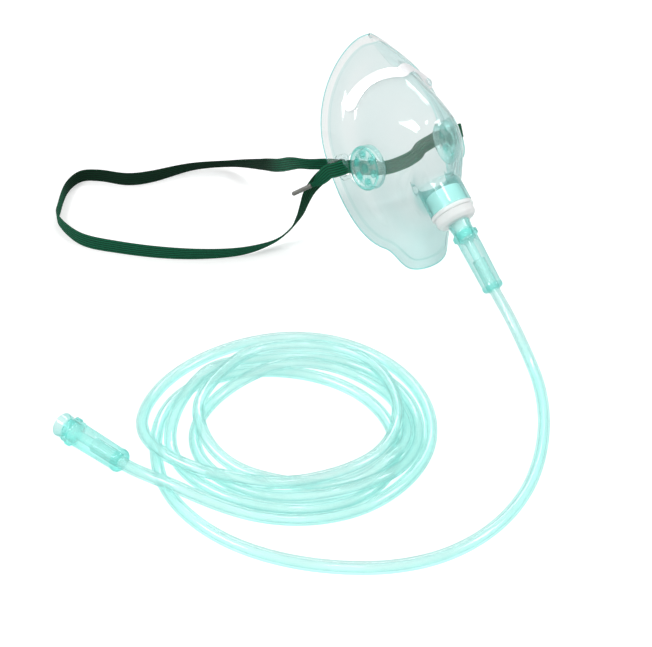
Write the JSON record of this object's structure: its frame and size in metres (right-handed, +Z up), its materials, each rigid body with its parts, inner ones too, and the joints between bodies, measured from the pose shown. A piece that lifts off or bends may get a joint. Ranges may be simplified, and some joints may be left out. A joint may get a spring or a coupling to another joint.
{
  "type": "oxygen face mask",
  "caption": "Clear soft face mask with side vents, nose clip, elastic head strap, swivel inlet and coiled supply tubing with connectors.",
  "frame": {"origin": "on the floor under the centre of the box of the mask, strap and mask connector", "axes": "+Z up; the mask's opening faces mostly towards +Y and the inlet towards -Y; X across the laid-out strap"},
  "size_m": [0.2524, 0.3128, 0.108],
  "materials": {
    "clear_shell": "clear soft plastic",
    "clear_tube": "clear green plastic",
    "white_plastic": "satin",
    "elastic": "ribbed woven elastic",
    "aluminium": "bare soft strip",
    "steel": "crimped tips"
  },
  "bodies": {
    "mask": {"mask_shell": "clear_shell", "nose_clip": "aluminium", "head_strap": "elastic", "strap_tip_left": "steel", "strap_tip_right": "steel", "tube_lead": "clear_tube", "tube_coil": "clear_tube", "tube_tail": "clear_tube", "supply_connector": "clear_tube"},
    "inlet": {"inlet_adapter": "white_plastic", "mask_connector": "clear_tube"}
  },
  "joints": [
    {"name": "inlet_swivel", "type": "hinge", "parent": "mask", "child": "inlet", "pos_m": [0.09371, -0.03825, 0.04421], "axis": [0.4361, -0.703, -0.5619], "continuous": true}
  ]
}
